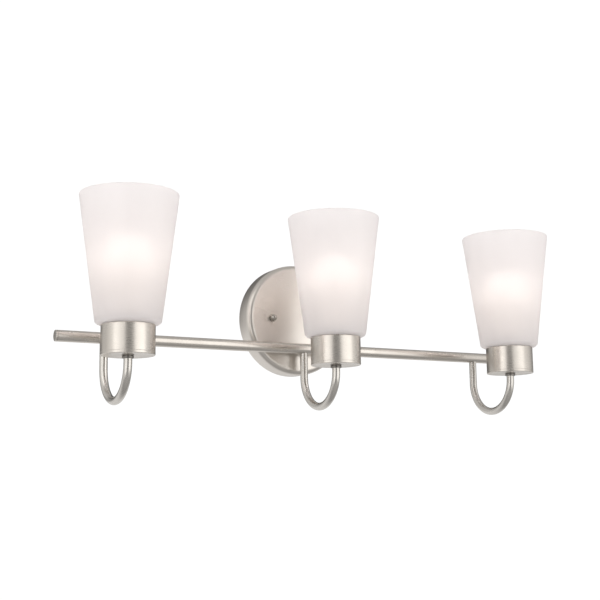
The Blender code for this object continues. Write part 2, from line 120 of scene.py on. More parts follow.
def studio_room():
    world = bpy.data.worlds.new("studio")
    world.use_nodes = True
    tree = world.node_tree
    tree.nodes.clear()
    bpy.context.scene.world = world

    def reckoned(operation, *terms):
        return wired(tree, "ShaderNodeMath", dict(enumerate(terms)),
                     operation=operation).outputs[0]

    def between(value, low, high, easing="LINEAR"):
        return wired(tree, "ShaderNodeMapRange", {
            "From Min": low, "From Max": high, "Value": value},
            interpolation_type=easing).outputs["Result"]

    def banded(value, stops, easing="LINEAR"):
        """Colours by (position, (red, green, blue)) stops."""
        bands = wired(tree, "ShaderNodeValToRGB", {"Fac": value})
        bands.color_ramp.interpolation = easing
        elements = bands.color_ramp.elements
        while len(elements) < len(stops):
            elements.new(0.5)
        for element, (position, colour) in zip(elements, stops):
            element.position = position
            element.color = (*colour, 1.0)
        return bands.outputs["Color"]

    def mixed(factor, first, second):
        return wired(tree, "ShaderNodeMix", {"Factor": factor, "A": first, "B": second},
                     data_type="RGBA").outputs["Result"]

    def lit(colour, strength=1.0):
        return wired(tree, "ShaderNodeBackground", {
            "Color": colour, "Strength": strength}).outputs[0]

    direction = wired(tree, "ShaderNodeTexCoord").outputs["Generated"]
    x, y, z = wired(tree, "ShaderNodeSeparateXYZ", {"Vector": direction}).outputs
    heading = reckoned("ARCTAN2", x, reckoned("MULTIPLY", y, -1.0))
    walls = banded(between(heading, -math.pi, math.pi), [
        ((degrees + 180) / 360, [bright * tint for tint in ROOM_TINT])
        for degrees, bright in HEADINGS], "EASE")
    below = banded(between(y, -1.0, 1.0), UNDERFOOT)
    tipped = reckoned("MULTIPLY_ADD", y, -HORIZON_TIP, z)
    lower = mixed(between(tipped, *LOW_EDGE, "SMOOTHSTEP"), below, walls)
    mirrored = mixed(between(z, *HIGH_EDGE, "SMOOTHSTEP"), lower, OVERHEAD)

    ray = wired(tree, "ShaderNodeLightPath").outputs
    scattered = reckoned("MAXIMUM", ray["Is Diffuse Ray"], ray["Is Transmission Ray"])
    shown = lit(mirrored)
    for chosen, light in ((scattered, lit(FILL_TINT, ROOM_FILL)),
                          (ray["Is Camera Ray"], lit(BACKDROP_TINT, BACKDROP))):
        shown = wired(tree, "ShaderNodeMixShader", {"Fac": chosen, 1: shown, 2: light}).outputs[0]
    wired(tree, "ShaderNodeOutputWorld", {"Surface": shown})


studio_room()


def soft_box(name, place, width, height, radiance):
    """A tall white panel that faces the middle of the bar."""
    panel = bpy.data.lights.new(name, "AREA")
    panel.shape = "RECTANGLE"
    panel.size, panel.size_y = width, height
    panel.energy = math.pi * width * height * radiance
    panel.color = (1.0, 0.99, 0.975)
    stand = added(name, panel)
    stand.location = place
    stand.rotation_euler = (Vector(place) - bar_middle).to_track_quat("Z", "Y").to_euler()
    stand.visible_camera = False
    stand.visible_diffuse = False


soft_box("soft_box_left", (-0.80, -0.475, 0.18), 0.64, 1.25, 0.88)
soft_box("soft_box_right", (0.29, -0.90, 0.18), 0.92, 1.25, 0.78)


def new_finish(name, metallic=0.0):
    """A new material, its tree and its shader."""
    finish = bpy.data.materials.new(name)
    finish.use_nodes = True
    shader = finish.node_tree.nodes["Principled BSDF"]
    shader.inputs["Metallic"].default_value = metallic
    return finish, finish.node_tree, shader


FLOOR_DROP, FLOOR_HALF, FLOOR_COLOUR, FLOOR_ROUGH = 1.30, 1.6, (0.80, 0.79, 0.78, 1.0), 0.9
floor_z = cad_box[0][2] - FLOOR_DROP
floor_mesh = bpy.data.meshes.new("studio_floor")
floor_mesh.from_pydata([(x * FLOOR_HALF, y * FLOOR_HALF, floor_z)
                        for x, y in ((-1, -1), (1, -1), (1, 1), (-1, 1))], [], [(0, 1, 2, 3)])
floor_paint, _, paint_shader = new_finish("pale_floor")
paint_shader.inputs["Base Color"].default_value = FLOOR_COLOUR
paint_shader.inputs["Roughness"].default_value = FLOOR_ROUGH
floor_mesh.materials.append(floor_paint)
studio_floor = added("studio_floor", floor_mesh)
studio_floor.visible_glossy = False


# Canopy: a drum drawn from sheet steel, satin nickel plated, with a rolled front edge and a
# turned-in back rim. Three holes in its face take the two mounting studs and the nipple.
def pattern(tree, grain, centre, detail=3.0, distortion=0.0):
    """Noise on the piece's own coordinates from a centre; grain is its fineness per metre."""
    place = wired(tree, "ShaderNodeTexCoord").outputs["Object"]
    stretch = wired(tree, "ShaderNodeMapping", {
        "Location": [-c * g for c, g in zip(centre, grain)], "Scale": grain, "Vector": place},
        vector_type="POINT")
    return wired(tree, "ShaderNodeTexNoise", {
        "Scale": 1.0, "Detail": detail, "Roughness": 0.6, "Distortion": distortion,
        "Vector": stretch.outputs["Vector"]}).outputs["Fac"]


def spread(tree, value, span, wanted):
    """Map a span of a value, such as a pattern's middle range, onto the range a socket needs."""
    return wired(tree, "ShaderNodeMapRange", {
        "From Min": span[0], "From Max": span[1], "To Min": wanted[0], "To Max": wanted[1],
        "Value": value}).outputs["Result"]


TONE_SPAN, GLOSS_SPAN = (0.35, 0.65), (0.30, 0.70)


def toned(tree, value, shader, first, second, span=TONE_SPAN, socket="Base Color"):
    """Colour a socket from first to second as a value crosses its span."""
    tone = wired(tree, "ShaderNodeMix", {
        "A": (*first, 1.0), "B": (*second, 1.0), "Factor": spread(tree, value, span, (0.0, 1.0))},
        data_type="RGBA")
    tree.links.new(tone.outputs["Result"], shader.inputs[socket])


def relief(tree, value, shader, strength, depth):
    """Fine bumps that are too small to model."""
    bump = wired(tree, "ShaderNodeBump", {"Strength": strength, "Distance": depth, "Height": value})
    tree.links.new(bump.outputs["Normal"], shader.inputs["Normal"])


HANDLING, BRUSH_DEPTH = 0.03, 0.0002


def brushed_metal(name, light, dark, smooth, rough, brush, centre, strength=0.16):
    """Plated metal with fine brush lines, slow cloudy change of colour and handling marks."""
    finish, tree, shader = new_finish(name, 1.0)
    clouds = pattern(tree, (26.0, 26.0, 26.0), centre, detail=2.0, distortion=0.4)
    lines = pattern(tree, brush, centre)
    toned(tree, clouds, shader, light, dark)
    marks = wired(tree, "ShaderNodeMath", {
        0: spread(tree, lines, GLOSS_SPAN, (smooth, rough)),
        1: spread(tree, clouds, GLOSS_SPAN, (-HANDLING, HANDLING))}, operation="ADD")
    tree.links.new(marks.outputs[0], shader.inputs["Roughness"])
    relief(tree, lines, shader, strength, BRUSH_DEPTH)
    return finish


def eased(outline, ease, steps=4, share=0.45):
    """Round a closed outline's (radius, height) corners; a third number is a corner's own ease.
    No ease takes up more than its share of an edge."""
    points = [Vector(entry[:2]) for entry in outline]
    eases = [entry[2] if len(entry) > 2 else ease for entry in outline]
    rounded = []
    for i, corner in enumerate(points):
        before, after = points[i - 1] - corner, points[(i + 1) % len(points)] - corner
        reach = min(eases[i], share * before.length, share * after.length)
        if corner.x < 1e-6 or reach < 1e-6:
            rounded.append(corner)
            continue
        start, end = corner + before.normalized() * reach, corner + after.normalized() * reach
        for step in range(steps + 1):
            t = step / steps
            rounded.append(start * (1 - t) ** 2 + corner * 2 * t * (1 - t) + end * t * t)
    return [tuple(point) for point in rounded]


def arc(centre, radius, start, end, steps):
    """Points on an arc of an outline, angles in degrees from the radius."""
    turns = [math.radians(start + (end - start) * i / steps) for i in range(steps + 1)]
    return [(centre[0] + radius * math.cos(turn), centre[1] + radius * math.sin(turn), 0.0)
            for turn in turns]


def welded(mesh, reach=1e-7):
    """Close the mesh's seams and turn its faces outward."""
    shape = bmesh.new()
    shape.from_mesh(mesh)
    bmesh.ops.remove_doubles(shape, verts=shape.verts, dist=reach)
    bmesh.ops.dissolve_degenerate(shape, edges=shape.edges, dist=reach / 10)
    gaps = [edge for edge in shape.edges if edge.is_boundary]
    bmesh.ops.holes_fill(shape, edges=gaps, sides=4)
    bmesh.ops.recalc_face_normals(shape, faces=shape.faces)
    shape.to_mesh(mesh)
    shape.free()


def creased(mesh, crisp=38.0):
    """Keep the edges sharp that turn by more than crisp degrees."""
    mesh.set_sharp_from_angle(angle=math.radians(crisp))


def skin(name, rings, finish, loop=True, crisp=38.0):
    """A closed mesh over rings of equally many points; with loop the last ring joins the first."""
    count, total = len(rings[0]), len(rings)
    faces = []
    for j in range(total if loop else total - 1):
        near, far = j * count, (j + 1) % total * count
        faces += [(near + i, near + (i + 1) % count, far + (i + 1) % count, far + i)
                  for i in range(count)]
    mesh = bpy.data.meshes.new(name)
    mesh.from_pydata([point for ring in rings for point in ring], [], faces)
    welded(mesh)
    mesh.shade_smooth()
    creased(mesh, crisp)
    mesh.materials.append(finish)
    return added(name, mesh)


def ring_at(centre, axis, radius, height, steps):
    """Points round an axis through centre; radius is a number or a rule of the angle."""
    toward = Vector(axis)
    side = Vector((1, 0, 0)) if abs(toward.x) < 0.5 else Vector((0, 1, 0))
    other = toward.cross(side)
    ring = []
    for i in range(steps):
        angle = math.tau * i / steps
        reach = radius(angle) if callable(radius) else radius
        spoke = (side * math.cos(angle) + other * math.sin(angle)) * reach
        ring.append(Vector(centre) + toward * height + spoke)
    return ring


def spun(name, outline, centre, axis, finish, steps=128):
    """Turn a closed outline of (radius, height) points about an axis through centre."""
    return skin(name, [ring_at(centre, axis, r, h, steps) for r, h in outline], finish)


def baked(piece):
    """The piece with its modifiers turned into plain mesh."""
    seen = piece.evaluated_get(bpy.context.evaluated_depsgraph_get())
    made = bpy.data.meshes.new_from_object(seen)
    piece.modifiers.clear()
    piece.data = made
    made.name = piece.name
    return piece


def cut_out(piece, *cutters):
    """Take the cutters' shapes out of a piece and throw the cutters away."""
    for tool in cutters:
        cut = piece.modifiers.new("cut", "BOOLEAN")
        cut.object = tool
        cut.solver = "EXACT"
    baked(piece)
    welded(piece.data, 2e-6)
    for tool in cutters:
        bpy.data.objects.remove(tool)
    creased(piece.data)


def rod(centre, axis, radius, low, high, steps=48):
    """A plain cylinder to cut with."""
    outline = [(0, high), (radius, high), (radius, low), (0, low)]
    return spun("cutter", outline, centre, axis, None, steps)


def fitted(piece, body, slot, *replaced):
    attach(piece, body)
    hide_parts(*replaced)


def middle_of(node):
    low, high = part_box(node)
    return (low + high) / 2


TO_ROOM, UP, ALONG, HERE = (0, -1, 0), (0, 0, 1), (1, 0, 0), (0, 0, 0)
SATIN_LIGHT, SATIN_DARK = (0.700, 0.660, 0.612), (0.660, 0.620, 0.572)
STUD_BORE, NIPPLE_BORE = 0.00235, 0.0033
SHEET, FRONT_ROLL, RIM_EASE, HOLE_CUT = 0.0012, 0.0070, 0.0004, 0.004
canopy_low, canopy_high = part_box("canopy")
canopy_radius = (canopy_high.x - canopy_low.x) / 2
canopy_depth = -canopy_low.y
bar_axis = Vector((0.0, bar_middle.y, bar_middle.z))
bar_radius = (bar_high.z - bar_low.z) / 2
nut_places = {side: middle_of(f"cap_nut_{side}") for side in PAIR}

roll = (canopy_radius - FRONT_ROLL, canopy_depth - FRONT_ROLL)
canopy_outline = [(0.0, canopy_depth)]
canopy_outline += arc(roll, FRONT_ROLL, 90, 0, 14)
canopy_outline += [(canopy_radius, 0.0, RIM_EASE), (canopy_radius - SHEET, 0.0, RIM_EASE)]
canopy_outline += arc(roll, FRONT_ROLL - SHEET, 0, 90, 10)
canopy_outline += [(0.0, canopy_depth - SHEET)]
# Painted light: the canopy gets a lighter copy of the satin nickel than the bar and cups, so its
# face and wall read brighter.
canopy_painted_light_satin = brushed_metal("canopy_nickel_painted_lighter", (0.75, 0.71, 0.665), (0.71, 0.67, 0.625),
                             0.28, 0.38, (110.0, 420.0, 5200.0), HERE, 0.05)
canopy = spun("canopy_shell", eased(canopy_outline, 0.0), HERE, TO_ROOM, canopy_painted_light_satin, 192)
face_cut = (canopy_depth - HOLE_CUT, canopy_depth + HOLE_CUT)
cut_out(canopy, rod((0, 0, bar_axis.z), TO_ROOM, NIPPLE_BORE, *face_cut),
        *[rod((nut_places[side].x, 0, 0), TO_ROOM, STUD_BORE, *face_cut) for side in PAIR])
fitted(canopy, "root", "brushed_nickel", "canopy")


# Cap nuts: small blind nuts, turned bright from nickel-plated brass, each over a thin washer on
# its stud. The nut turns on the stud and carries its washer off with it.
# Painted shade: nuts and washers get a darker copy of the nickel, standing in for their shaded side
# and a dark reflection.
cap_painted_shade_satin = brushed_metal("cap_nut_painted_shade_nickel", (0.52, 0.49, 0.45), (0.46, 0.43, 0.39), 0.12, 0.20,
                          (900.0, 3800.0, 900.0), HERE, 0.08)
NUT_RADIUS, NUT_SKIRT, NUT_EDGE, NUT_BORE_END = 0.0038, 0.0030, 0.0003, 0.0050
NUT_LINE_DEPTH, NUT_LINE_HALF, NUT_LINE_EASE = 0.0002, 0.0003, 0.0001
dome = arc((0.0, NUT_SKIRT), NUT_RADIUS, 90, 8, 12)
dome += [(NUT_RADIUS, NUT_SKIRT, NUT_LINE_EASE),
         (NUT_RADIUS - NUT_LINE_DEPTH, NUT_SKIRT - NUT_LINE_HALF, NUT_LINE_EASE),
         (NUT_RADIUS, NUT_SKIRT - 2 * NUT_LINE_HALF, NUT_LINE_EASE),
         (NUT_RADIUS, 0.0, NUT_EDGE), (STUD_BORE, 0.0, NUT_EDGE),
         (STUD_BORE, NUT_BORE_END, 0.0), (0.0, NUT_BORE_END)]
for side in PAIR:
    low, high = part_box(f"cap_nut_{side}")
    base = Vector((nut_places[side].x, high.y, 0.0))
    nut = spun(f"acorn_nut_{side}", eased(dome, 0.0), base, TO_ROOM, cap_painted_shade_satin, 64)
    fitted(nut, f"cap_nut_{side}", "brushed_nickel", f"cap_nut_{side}")
    low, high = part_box(f"cap_washer_{side}")
    thick, outer = high.y - low.y, (high.x - low.x) / 2
    flat = eased([(outer, thick), (outer, 0), (STUD_BORE, 0), (STUD_BORE, thick)], 0.0002)
    base = (nut_places[side].x, high.y, 0.0)
    washer = spun(f"thin_washer_{side}", flat, base, TO_ROOM, cap_painted_shade_satin, 64)
    fitted(washer, f"cap_washer_{side}", "brushed_nickel", f"cap_washer_{side}")


# Mounting strap: zinc-plated steel pressed with two slots for the outlet box's screws, tapped
# for the studs. It lies on the wall inside the canopy, with the ground screw beside its middle.
zinc = brushed_metal("bright_zinc", (0.70, 0.71, 0.73), (0.60, 0.62, 0.65), 0.26, 0.42,
                     (700.0, 700.0, 700.0), HERE, 0.10)
strap_low, strap_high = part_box("mounting_crossbar")
strap_size = strap_high - strap_low
STRAP_CORNER, SLOT_WIDTH, SLOT_LENGTH, SLOT_PLACE = 0.004, 0.0046, 0.0090, 0.046
GROUND_BORE, STRAP_CUT = 0.0021, 0.005


def plate(name, size, centre, corner, finish, edge=0.0004):
    """A flat plate in the wall's plane with rounded corners and eased edges."""
    half_x, half_z = size.x / 2 - corner, size.z / 2 - corner
    outline = []
    for sign_x, sign_z, start in ((1, 1, 0), (-1, 1, 90), (-1, -1, 180), (1, -1, 270)):
        for step in range(9):
            angle = math.radians(start + 90 * step / 8)
            outline.append((sign_x * half_x + corner * math.cos(angle),
                            sign_z * half_z + corner * math.sin(angle)))
    rings = []
    for on_face, y in ((True, -0.5), (False, -0.5), (False, 0.5), (True, 0.5)):
        inset, back = (edge, 0.0) if on_face else (0.0, math.copysign(edge, y))
        rings.append([Vector((x - math.copysign(inset, x), y * size.y - back,
                              z - math.copysign(inset, z))) + centre for x, z in outline])
    shape = bmesh.new()
    layers = [[shape.verts.new(point) for point in ring] for ring in rings]
    for first, second in zip(layers, layers[1:]):
        for i in range(len(first)):
            shape.faces.new((first[i - 1], first[i], second[i], second[i - 1]))
    shape.faces.new(layers[0])
    shape.faces.new(layers[-1])
    bmesh.ops.recalc_face_normals(shape, faces=shape.faces)
    mesh = bpy.data.meshes.new(name)
    shape.to_mesh(mesh)
    shape.free()
    mesh.shade_smooth()
    creased(mesh, crisp=30.0)
    if finish is not None:
        mesh.materials.append(finish)
    return added(name, mesh)


ground_x = middle_of("ground_screw").x
strap = plate("mounting_strap", strap_size, (strap_low + strap_high) / 2, STRAP_CORNER, zinc)
slot_size = Vector((SLOT_LENGTH, 2 * STRAP_CUT, SLOT_WIDTH))
slots = [plate("slot", slot_size, Vector((sign * SLOT_PLACE, 0, 0)), SLOT_WIDTH / 2 - 0.00001,
               None, 0.0) for sign in (-1, 1)]
cut_out(strap, *slots, rod((ground_x, 0, 0), TO_ROOM, GROUND_BORE, -STRAP_CUT, STRAP_CUT),
        *[rod((nut_places[side].x, 0, 0), TO_ROOM, STUD_BORE, -STRAP_CUT, STRAP_CUT)
          for side in PAIR])
fitted(strap, "root", "zinc_steel", "mounting_crossbar")


# Studs and hexagon nuts: rolled machine thread on zinc-plated steel, locked to the strap by a
# nut each.
def thread_rings(centre, axis, low, high, radius, depth, pitch, steps=48, per_turn=8, run_out=0.6):
    """Rings of a right-hand thread that fades into the plain rod at both ends."""
    count = max(2, round((high - low) / pitch * per_turn))
    rings = []
    for j in range(count + 1):
        height = low + (high - low) * j / count
        fade = min(1.0, (height - low) / (pitch * run_out), (high - height) / (pitch * run_out))

        def reach(angle, height=height, fade=fade):
            wave = math.sin(math.tau * height / pitch - angle)
            return radius + depth / 2 * max(0.0, fade) * wave
        rings.append(ring_at(centre, axis, reach, height, steps))
    return rings


THREAD_TIP, LEAD_IN = 0.72, 0.0003


def threaded_rod(name, centre, axis, low, high, radius, depth, pitch, finish):
    """A threaded rod with a smaller flat at both ends."""
    tip = radius * THREAD_TIP
    rings = [ring_at(centre, axis, 0.0, low, 48), ring_at(centre, axis, tip, low, 48)]
    rings += thread_rings(centre, axis, low + LEAD_IN, high - LEAD_IN, radius - depth / 2, depth,
                          pitch)
    rings += [ring_at(centre, axis, tip, high, 48), ring_at(centre, axis, 0.0, high, 48)]
    return skin(name, rings, finish, loop=False, crisp=50.0)


CONE_REACH, CONE_SLOPE = 0.97, 0.6


def hexagon_nut(name, flats, bore, low, high, centre, axis, finish, steps=72, ease=0.0002):
    """A hexagon with both faces chamfered by a cone and an eased bore."""
    cone = flats / 2 * CONE_REACH

    def hexagon(angle):
        return flats / 2 / math.cos((angle + math.pi / 6) % (math.pi / 3) - math.pi / 6)

    def chamfered(angle):
        return min(hexagon(angle), cone)
    rings = []
    for sign, end in ((1, low), (-1, high)):
        corners = []
        for i, point in enumerate(ring_at(centre, axis, hexagon, end, steps)):
            drop = (hexagon(math.tau * i / steps) - cone) * CONE_SLOPE
            corners.append(point + Vector(axis) * drop * sign)
        stack = [ring_at(centre, axis, bore, end + sign * ease, steps),
                 ring_at(centre, axis, bore + ease, end, steps),
                 ring_at(centre, axis, chamfered, end, steps), corners]
        rings += stack if sign > 0 else stack[::-1]
    return skin(name, rings, finish, crisp=28.0)


def off_wall(node):
    """A round piece's radius, and how far its back and its front stand off the wall."""
    low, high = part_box(node)
    return (high.x - low.x) / 2, -high.y, -low.y


def tall(node):
    low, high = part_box(node)
    return high.z - low.z


STUD_PITCH, STUD_DEPTH = 0.000794, 0.00030
for side in PAIR:
    foot = (nut_places[side].x, 0.0, 0.0)
    radius, back, front = off_wall(f"mounting_stud_{side}")
    stud = threaded_rod(f"threaded_stud_{side}", foot, TO_ROOM, back, front, radius,
                        STUD_DEPTH, STUD_PITCH, zinc)
    fitted(stud, "root", "zinc_steel", f"mounting_stud_{side}")
    _, back, front = off_wall(f"stud_nut_{side}")
    nut = hexagon_nut(f"lock_nut_{side}", tall(f"stud_nut_{side}"), STUD_BORE, back, front,
                      foot, TO_ROOM, zinc)
    fitted(nut, "root", "zinc_steel", f"stud_nut_{side}")


# Ground screw: zinc-plated steel dyed green, with a slotted pan head.
# It is turned into the strap beside the middle and stands on the strap by its head.
green_dye = brushed_metal("green_dyed_zinc", (0.03, 0.30, 0.09), (0.02, 0.22, 0.07), 0.30, 0.45,
                          (900.0, 900.0, 900.0), HERE, 0.10)
GROUND_SHANK, HEAD_GAP, HEAD_SIDE = 0.0018, 0.0003, 0.0007
SLIT = Vector((0.012, 0.0014, 0.0011))
head_radius, back, head_top = off_wall("ground_screw")
head_seat = strap_size.y + HEAD_GAP
pan = [(0.0, head_top), (head_radius * 0.72, head_top, 0.0008),
       (head_radius, head_seat + HEAD_SIDE, 0.0004), (head_radius, head_seat, 0.0001),
       (GROUND_SHANK, head_seat, 0.0), (GROUND_SHANK, back, 0.0003), (0.0, back)]
ground = spun("ground_screw_green", eased(pan, 0.0), (ground_x, 0, 0), TO_ROOM, green_dye, 64)
cut_out(ground, plate("slit", SLIT, Vector((ground_x, -head_top, 0)), 0.0002, None, 0.0))
fitted(ground, "root", "green_steel", "ground_screw")


# Terminal block: black moulding on the strap where the three leads come together, with three
# screw wells.
def moulded(name, light, dark, smooth, rough, grain=2600.0):
    """Moulded plastic or glaze: fine orange-peel relief and slight variation in gloss."""
    finish, tree, shader = new_finish(name)
    peel = pattern(tree, (grain, grain, grain), HERE, detail=2.0)
    clouds = pattern(tree, (60.0, 60.0, 60.0), HERE, detail=2.0)
    toned(tree, clouds, shader, light, dark)
    tree.links.new(spread(tree, peel, GLOSS_SPAN, (smooth, rough)), shader.inputs["Roughness"])
    relief(tree, peel, shader, 0.12, 0.0001)
    return finish


black_moulding = moulded("black_moulding", (0.035, 0.035, 0.037), (0.050, 0.050, 0.052), 0.42, 0.60)
LEAD_PITCH, WELL_RADIUS, WELL_RISE, WELL_DEPTH = 0.006, 0.0020, 0.003, 0.003
MOUTH_RADIUS, MOUTH_DEPTH, MOUTH_RUN = 0.0016, 0.002, 0.003
BLOCK_CORNER, BLOCK_EDGE = 0.0012, 0.0007
block_low, block_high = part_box("terminal_block")
block_middle = (block_low + block_high) / 2
block = plate("terminal_block_body", block_high - block_low, block_middle, BLOCK_CORNER,
              black_moulding, BLOCK_EDGE)
wells = [rod((i * LEAD_PITCH, 0, block_middle.z + WELL_RISE), TO_ROOM, WELL_RADIUS,
             -block_low.y - WELL_DEPTH, -block_low.y + WELL_DEPTH) for i in (-1, 0, 1)]
mouths = [rod((i * LEAD_PITCH, block_middle.y, 0), UP, MOUTH_RADIUS,
              block_low.z - MOUTH_RUN, block_low.z + MOUTH_DEPTH) for i in (-1, 0, 1)]
cut_out(block, *wells, *mouths)
fitted(block, "root", "black_plastic", "terminal_block")


# Stem: a turned spacer between canopy and bar, scooped to sit on the bar, over a hollow threaded
# nipple. Inside the canopy a lock washer and a hexagon nut pull it tight.
def collar_outline(outer, inner, low, high):
    return [(outer, high), (outer, low), (inner, low), (inner, high)]


stem_satin = brushed_metal("stem_satin_nickel", SATIN_LIGHT, SATIN_DARK, 0.26, 0.36,
                           (500.0, 4200.0, 500.0), HERE)
CLEARANCE, ACROSS_CUT = 0.0003, 0.02
WIRE_BORE, NIPPLE_PITCH, NIPPLE_DEPTH = 0.0022, 0.00090, 0.0004
stem_foot = (0.0, 0.0, bar_axis.z)
radius, back, front = off_wall("stem_spacer")
scoop = rod(bar_axis, ALONG, bar_radius + CLEARANCE, -ACROSS_CUT, ACROSS_CUT, 96)
spacer = spun("stem_collar", eased(collar_outline(radius, NIPPLE_BORE, back, front), 0.0003),
              stem_foot, TO_ROOM, stem_satin, 96)
cut_out(spacer, scoop)
fitted(spacer, "root", "brushed_nickel", "stem_spacer")

radius, back, front = off_wall("threaded_nipple")
nipple_rings = thread_rings(stem_foot, TO_ROOM, back, front, radius - NIPPLE_DEPTH / 2,
                            NIPPLE_DEPTH, NIPPLE_PITCH, 64)
nipple_rings += [ring_at(stem_foot, TO_ROOM, WIRE_BORE, end, 64) for end in (front, back)]
nipple = skin("threaded_nipple_tube", nipple_rings, zinc, crisp=50.0)
fitted(nipple, "root", "zinc_steel", "threaded_nipple")

radius, back, front = off_wall("nipple_washer")
lock_washer = spun("lock_washer", eased(collar_outline(radius, NIPPLE_BORE, back, front), 0.0002),
                   stem_foot, TO_ROOM, zinc, 96)
fitted(lock_washer, "root", "zinc_steel", "nipple_washer")
_, back, front = off_wall("nipple_nut")
stem_nut = hexagon_nut("stem_nut", tall("nipple_nut"), NIPPLE_BORE, back, front, stem_foot,
                       TO_ROOM, zinc)
fitted(stem_nut, "root", "zinc_steel", "nipple_nut")


# Bar: drawn round tube, satin nickel plated and brushed along its length, plugged at both ends.
# A wire hole opens over each loop and behind, where the nipple enters.
bar_satin = brushed_metal("bar_satin_nickel", SATIN_LIGHT, SATIN_DARK, 0.25, 0.30,
                          (40.0, 4200.0, 4200.0), bar_axis, 0.02)
BAR_WALL, WIRE_HOLE, BACK_CUT, FLOOR_CUT = 0.0012, 0.0026, (0.030, 0.036), (-0.008, -0.003)
tube_outline = collar_outline(bar_radius, bar_radius - BAR_WALL, bar_low.x, bar_high.x)
bar = spun("bar_tube_drawn", eased(tube_outline, 0.0002), bar_axis, ALONG, bar_satin, 96)
light_x = {side: middle_of(f"cup_{side}").x for side in SIDES}
cut_out(bar, rod(stem_foot, TO_ROOM, NIPPLE_BORE, *BACK_CUT),
        *[rod((light_x[side], bar_axis.y, bar_axis.z), UP, WIRE_HOLE, *FLOOR_CUT)
          for side in SIDES])
fitted(bar, "root", "brushed_nickel", "bar_tube")
seat, spigot = abs(bar_high.x) + CLEARANCE, bar_radius - BAR_WALL - CLEARANCE
for side, sign in zip(PAIR, (-1, 1)):
    low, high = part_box(f"bar_end_cap_{side}")
    tail, tip = sorted((abs(low.x), abs(high.x)))
    plug = [(0.0, tip), (bar_radius, tip, 0.0009), (bar_radius, seat, 0.0001), (spigot, seat, 0.0),
            (spigot, tail, 0.0004), (0.0, tail)]
    cap = spun(f"bar_plug_{side}", eased(plug, 0.0, 6), bar_axis, (sign, 0, 0), bar_satin, 96)
    fitted(cap, "root", "brushed_nickel", f"bar_end_cap_{side}")


# Loops: steel tube bent to a half circle and satin nickel plated, brazed under the bar and
# threaded into the cup. One tree sweeps a round section along a path; the same tree makes the
# bore that is cut from it.
def new_tree(name, inputs, output):
    """A tree with named inputs and one output; returns its inputs as well."""
    tree = bpy.data.node_groups.new(name, "GeometryNodeTree")
    for label, kind in inputs.items():
        tree.interface.new_socket(label, in_out="INPUT", socket_type="NodeSocket" + kind)
    tree.interface.new_socket(output, in_out="OUTPUT", socket_type="NodeSocketGeometry")
    return tree, wired(tree, "NodeGroupInput").outputs


def hand_out(tree, shape, finish, output):
    """Make every copy real, give it its finish and hand it out."""
    real = wired(tree, "GeometryNodeRealizeInstances", {"Geometry": shape})
    paint = wired(tree, "GeometryNodeSetMaterial", {
        "Geometry": real.outputs["Geometry"], "Material": finish})
    wired(tree, "NodeGroupOutput", {output: paint.outputs["Geometry"]})


def sweep_tree():
    tree, given = new_tree("swept_round_bar", {
        "Path": "Geometry", "Radius": "Float", "Sides": "Int", "Finish": "Material"}, "Tube")
    path = wired(tree, "GeometryNodeMeshToCurve", {"Mesh": given["Path"]})
    section = wired(tree, "GeometryNodeCurvePrimitiveCircle", {
        "Radius": given["Radius"], "Resolution": given["Sides"]})
    sweep = wired(tree, "GeometryNodeCurveToMesh", {
        "Curve": path.outputs["Curve"], "Profile Curve": section.outputs["Curve"],
        "Fill Caps": True})
    hand_out(tree, sweep.outputs["Mesh"], given["Finish"], "Tube")
    return tree


def set_inputs(modifier, **values):
    """Set a tree's named inputs through their identifiers."""
    for item in modifier.node_group.interface.items_tree:
        if item.in_out == "INPUT" and item.name in values:
            modifier[item.identifier] = values[item.name]


SWEEP = sweep_tree()


def swept(name, path, radius, sides, finish):
    """A round bar along a path of points, closed at both ends."""
    line = bpy.data.meshes.new(name)
    line.from_pydata(path, [(i, i + 1) for i in range(len(path) - 1)], [])
    piece = added(name, line)
    sweep = piece.modifiers.new("sweep", "NODES")
    sweep.node_group = SWEEP
    set_inputs(sweep, Radius=radius, Sides=sides, Finish=finish)
    baked(piece)
    welded(piece.data)
    piece.data.shade_smooth()
    creased(piece.data)
    return piece


loop_satin = brushed_metal("loop_satin_nickel", (0.70, 0.675, 0.64), (0.67, 0.645, 0.61),
                           0.22, 0.29, (700.0, 700.0, 160.0), HERE, 0.02)
LOOP_WALL, LOOP_ROOT, FRONT_REACH, BORE_REACH, BRAZE = 0.0010, 0.0014, 0.0045, 0.002, 0.00008
loop_low, loop_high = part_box("loop_arm_left")
loop_radius = (loop_high.x - loop_low.x) / 2
cup_y = middle_of("cup_left").y
bend_radius = (bar_axis.y - cup_y) / 2
bend_centre = Vector((0.0, bar_axis.y - bend_radius, loop_low.z + loop_radius + bend_radius))
back_top = bar_axis.z - bar_radius + LOOP_ROOT
front_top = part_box("socket_body_left")[0].z + FRONT_REACH


def loop_path(x, back_end, front_end):
    """Down the back leg, round the half circle and up the front leg."""
    path = [Vector((x, bar_axis.y, back_end))]
    for step in range(49):
        angle = -math.pi * step / 48
        path.append(Vector((x, bend_centre.y + bend_radius * math.cos(angle),
                            bend_centre.z + bend_radius * math.sin(angle))))
    return [*path, Vector((x, cup_y, front_end))]


for side in SIDES:
    x = light_x[side]
    arm = swept(f"looped_tube_{side}", loop_path(x, back_top, front_top), loop_radius, 48,
                loop_satin)
    bore = swept("bore", loop_path(x, back_top + BORE_REACH, front_top + BORE_REACH),
                 loop_radius - LOOP_WALL, 32, loop_satin)
    saddle = rod((x, bar_axis.y, bar_axis.z), ALONG, bar_radius + BRAZE,
                 -ACROSS_CUT, ACROSS_CUT, 96)
    cut_out(arm, bore, saddle)
    fitted(arm, "root", "brushed_nickel", f"loop_arm_{side}")


